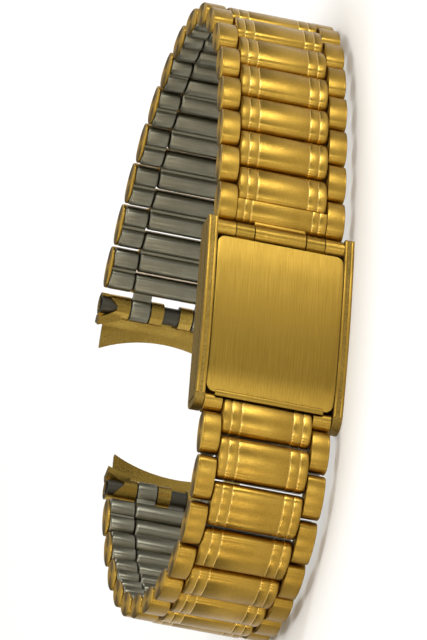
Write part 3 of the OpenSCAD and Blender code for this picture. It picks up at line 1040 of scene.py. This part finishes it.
lip = build_piece("cover_lip", [(lip_rings(), 0)], [brushed_gold])
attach(lip, "clasp_cover")
print("the lip reaches past the cover by, in mm:", round(COVER_LOWER - (LIP_X - LIP_LONG), 2))

# %% [markdown]
# ## The table
#
# The bracelet stands on its side edge on a white table that fills the view, so
# the table is the picture's background too. It is a stage, and no part of the
# bracelet. Its shader has no gloss, because a gloss would mirror the lamps.

# %% Lay the table
FLOOR_HALF = 3.0
TABLE_WHITE = (0.93, 0.93, 0.92, 1.0)
TABLE_ROUGHNESS = 0.9

white_table = bpy.data.materials.new("white_table")
white_table.use_nodes = True
matt = white_table.node_tree.nodes["Principled BSDF"]
matt.inputs["Base Color"].default_value = TABLE_WHITE
matt.inputs["Roughness"].default_value = TABLE_ROUGHNESS
matt.inputs["Specular IOR Level"].default_value = 0.0

floor_mesh = bpy.data.meshes.new("floor")
corners = [(-1, -1, 0), (1, -1, 0), (1, 1, 0), (-1, 1, 0)]
floor_mesh.from_pydata((np.array(corners) * FLOOR_HALF).tolist(), [], [(0, 1, 2, 3)])
floor_mesh.materials.append(white_table)
floor = bpy.data.objects.new("floor", floor_mesh)
bpy.context.scene.collection.objects.link(floor)
print("table in m:", 2 * FLOOR_HALF)

# %% [markdown]
# ## The lamps
#
# Every dome is a small curved mirror, so each row shows a bright band: the image
# of a lamp. A dome that is turned by some angle mirrors a lamp that stands twice
# that angle further round the table. The rows turn away above and below the
# clasp, and so narrow upright lamps stand round the table, each for its own
# stretch of rows. The lamps for the lower rows are warmer, as those rows are in
# the photograph. A wide lamp overhead makes the table white, and the table in
# turn fills the shadows. One more lamp lights the steel inside, and the world is
# dim.

# %% Set up the lamps
LAMP_AWAY = 0.5
LAMP_HEIGHT = 0.16
LAMP_TALL = 0.32
WHITE = (1.0, 1.0, 1.0)
WARM = (1.0, 0.9, 0.76)
WORLD_COLOUR = (1.0, 0.98, 0.94, 1.0)
WORLD_STRENGTH = 0.16


def on_horizon(azimuth, height):
    """A place round the bracelet: azimuth 0 is in front of the clasp and 90 is beyond its hinge."""
    turn = np.radians(azimuth)
    return (MIDDLE[0] + LAMP_AWAY * np.sin(turn), MIDDLE[1] - LAMP_AWAY * np.cos(turn), height)


def soft_light(name, place, size, power, colour=WHITE):
    """An area light of a width and height at a place in metres, turned towards the bracelet's middle."""
    light = bpy.data.lights.new(name, "AREA")
    light.shape = "RECTANGLE"
    light.size, light.size_y = size
    light.energy = power
    light.color = colour
    lamp = bpy.data.objects.new(name, light)
    bpy.context.scene.collection.objects.link(lamp)
    lamp.location = place
    lamp.rotation_euler = (Vector(MIDDLE) - Vector(place)).to_track_quat("-Z", "Y").to_euler()


# name, turn round the bracelet in degrees, width in metres, power in watts, colour
row_lamps = [
    ("low_front", -29.0, 0.07, 0.45, WARM),
    ("low_side", -57.0, 0.06, 0.42, WARM),
    ("far_side", -86.0, 0.06, 0.42, WARM),
    ("front", -2.0, 0.07, 0.65, WHITE),
    ("high_front", 44.0, 0.08, 1.15, WHITE),
    ("beside_high", 37.0, 0.06, 0.15, WHITE),
]
soft_light("table", place=(0.03, 0.12, 0.60), size=(0.80, 0.80), power=3.7)
for name, azimuth, width, power, colour in row_lamps:
    soft_light(name, on_horizon(azimuth, LAMP_HEIGHT), (width, LAMP_TALL), power, colour)
soft_light("inside", place=on_horizon(120.0, height=0.30), size=(0.20, 0.30), power=0.5)

world = bpy.data.worlds.new("dim_surroundings")
world.use_nodes = True
world.node_tree.nodes["Background"].inputs["Color"].default_value = WORLD_COLOUR
world.node_tree.nodes["Background"].inputs["Strength"].default_value = WORLD_STRENGTH
bpy.context.scene.world = world
bpy.context.scene.view_settings.view_transform = "Standard"
